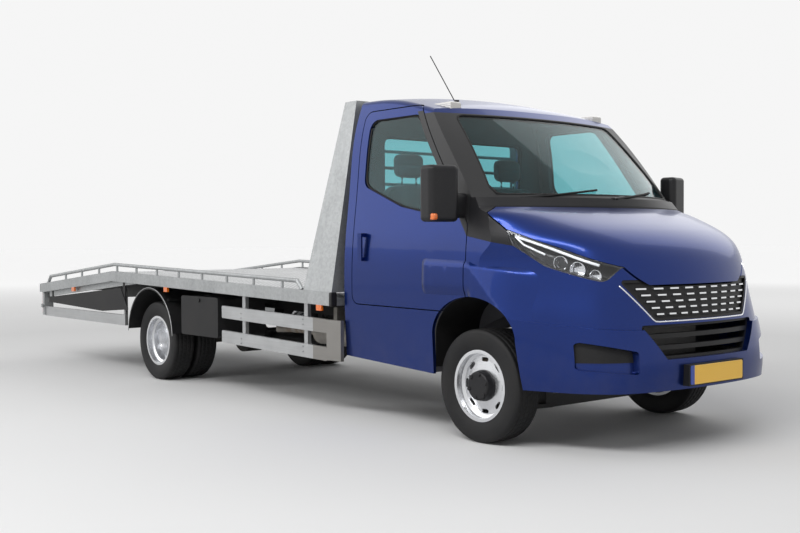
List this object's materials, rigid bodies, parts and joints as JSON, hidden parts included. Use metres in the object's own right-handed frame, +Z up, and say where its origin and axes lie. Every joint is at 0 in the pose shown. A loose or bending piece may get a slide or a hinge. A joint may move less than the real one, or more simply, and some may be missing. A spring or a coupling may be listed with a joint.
{
  "type": "car transporter truck",
  "caption": "Light bonneted truck with a van cab, twin rear wheels, a kinked galvanised car transporter deck with lashing rails, a headboard, side guards and tool boxes.",
  "frame": {"origin": "middle of the ground that the truck covers", "axes": "+X forward, +Y to the driver's left, +Z up"},
  "size_m": [7.582, 2.5, 2.5041],
  "materials": {
    "blue_paint": "metallic gloss paint",
    "chassis_black": "satin black paint",
    "cast_steel": "dark cast and forged parts",
    "galvanised": "hot-dip galvanised",
    "aluminium_planks": "plain mill finish",
    "wheel_silver": "silver wheel paint",
    "tyre_rubber": "matt",
    "black_plastic": "grained",
    "chrome_trim": "polished",
    "glass_tint": "green tinted glass",
    "lamp_clear": "clear cover",
    "lamp_dark": "dark lamp housing",
    "mirror_glass": "polished",
    "amber": "amber lens",
    "red_lens": "red lens",
    "interior": "dark grey moulding",
    "seat_cloth": "dark woven cloth",
    "bare_steel": "dull exhaust steel",
    "engine_grey": "cast"
  },
  "bodies": {
    "body": {"chassis_frame": "chassis_black", "front_suspension": "chassis_black", "engine_block": "engine_grey", "rear_axle": "cast_steel", "leaf_springs": "chassis_black", "propshaft": "chassis_black", "fuel_tank": "black_plastic", "exhaust": "bare_steel", "cab_shell": "blue_paint", "fenders": "blue_paint", "cowl": "black_plastic", "bumper": "blue_paint", "bumper_trim": "black_plastic", "grille": "black_plastic", "grille_dashes": "chrome_trim", "headlamp_lenses": "lamp_clear", "headlamp_housings": "lamp_dark", "arch_liners": "black_plastic", "cab_glass": "glass_tint", "dashboard": "interior", "steering_wheel": "interior", "seat_cushions": "seat_cloth", "seat_backs": "seat_cloth", "roof_lamps": "black_plastic", "antenna": "black_plastic", "wipers": "black_plastic", "deck_frame": "galvanised", "deck_planks": "aluminium_planks", "lashing_rails": "galvanised", "headboard": "galvanised", "mudguards": "black_plastic", "toolboxes": "black_plastic", "side_guards": "aluminium_planks", "rear_aprons": "black_plastic", "lamp_carriers": "galvanised", "rear_lamps": "red_lens", "side_markers": "amber"},
    "knuckle_left": {"knuckle_left": "cast_steel"},
    "wheel_front_left": {"rim_front_left": "wheel_silver", "tyre_front_left": "tyre_rubber", "hub_cover_left": "black_plastic"},
    "wheel_rear_left": {"rims_rear_left": "wheel_silver", "tyres_rear_left": "tyre_rubber"},
    "door_left": {"door_left": "blue_paint", "door_glass_left": "glass_tint", "door_trim_left": "black_plastic", "mirror_glass_left": "mirror_glass"},
    "toolbox_lid_left": {"toolbox_lid_left": "black_plastic"},
    "knuckle_right": {"knuckle_right": "cast_steel"},
    "wheel_front_right": {"rim_front_right": "wheel_silver", "tyre_front_right": "tyre_rubber", "hub_cover_right": "black_plastic"},
    "wheel_rear_right": {"rims_rear_right": "wheel_silver", "tyres_rear_right": "tyre_rubber"},
    "door_right": {"door_right": "blue_paint", "door_glass_right": "glass_tint", "door_trim_right": "black_plastic", "mirror_glass_right": "mirror_glass"},
    "toolbox_lid_right": {"toolbox_lid_right": "black_plastic"},
    "bonnet": {"bonnet": "blue_paint"}
  },
  "joints": [
    {"name": "steer_left", "type": "hinge", "parent": "body", "child": "knuckle_left", "pos_m": [2.757, 0.79, 0.347], "axis": [0, 0, 1], "range_deg": [-32, 32]},
    {"name": "wheel_front_left", "type": "hinge", "parent": "knuckle_left", "child": "wheel_front_left", "pos_m": [2.757, 0.862, 0.347], "axis": [0, 1, 0], "continuous": true},
    {"name": "wheel_rear_left", "type": "hinge", "parent": "body", "child": "wheel_rear_left", "pos_m": [-1.343, 0.77, 0.347], "axis": [0, 1, 0], "continuous": true},
    {"name": "door_left", "type": "hinge", "parent": "body", "child": "door_left", "pos_m": [2.7, 1.026, 1.2], "axis": [0, 0, -1], "range_deg": [0, 70]},
    {"name": "toolbox_lid_left", "type": "hinge", "parent": "body", "child": "toolbox_lid_left", "pos_m": [-0.4545, 1.05, 0.45], "axis": [-1, 0, 0], "range_deg": [0, 95]},
    {"name": "steer_right", "type": "hinge", "parent": "body", "child": "knuckle_right", "pos_m": [2.757, -0.79, 0.347], "axis": [0, 0, 1], "range_deg": [-32, 32]},
    {"name": "wheel_front_right", "type": "hinge", "parent": "knuckle_right", "child": "wheel_front_right", "pos_m": [2.757, -0.862, 0.347], "axis": [0, 1, 0], "continuous": true},
    {"name": "wheel_rear_right", "type": "hinge", "parent": "body", "child": "wheel_rear_right", "pos_m": [-1.343, -0.77, 0.347], "axis": [0, 1, 0], "continuous": true},
    {"name": "door_right", "type": "hinge", "parent": "body", "child": "door_right", "pos_m": [2.7, -1.026, 1.2], "axis": [0, 0, 1], "range_deg": [0, 70]},
    {"name": "toolbox_lid_right", "type": "hinge", "parent": "body", "child": "toolbox_lid_right", "pos_m": [-0.4545, -1.05, 0.45], "axis": [1, 0, 0], "range_deg": [0, 95]},
    {"name": "bonnet", "type": "hinge", "parent": "body", "child": "bonnet", "pos_m": [2.847, 0, 1.47], "axis": [0, -1, 0], "range_deg": [0, 55]}
  ],
  "couplings": [
    {"joint": "steer_right", "follows": "steer_left", "ratio": 1}
  ]
}
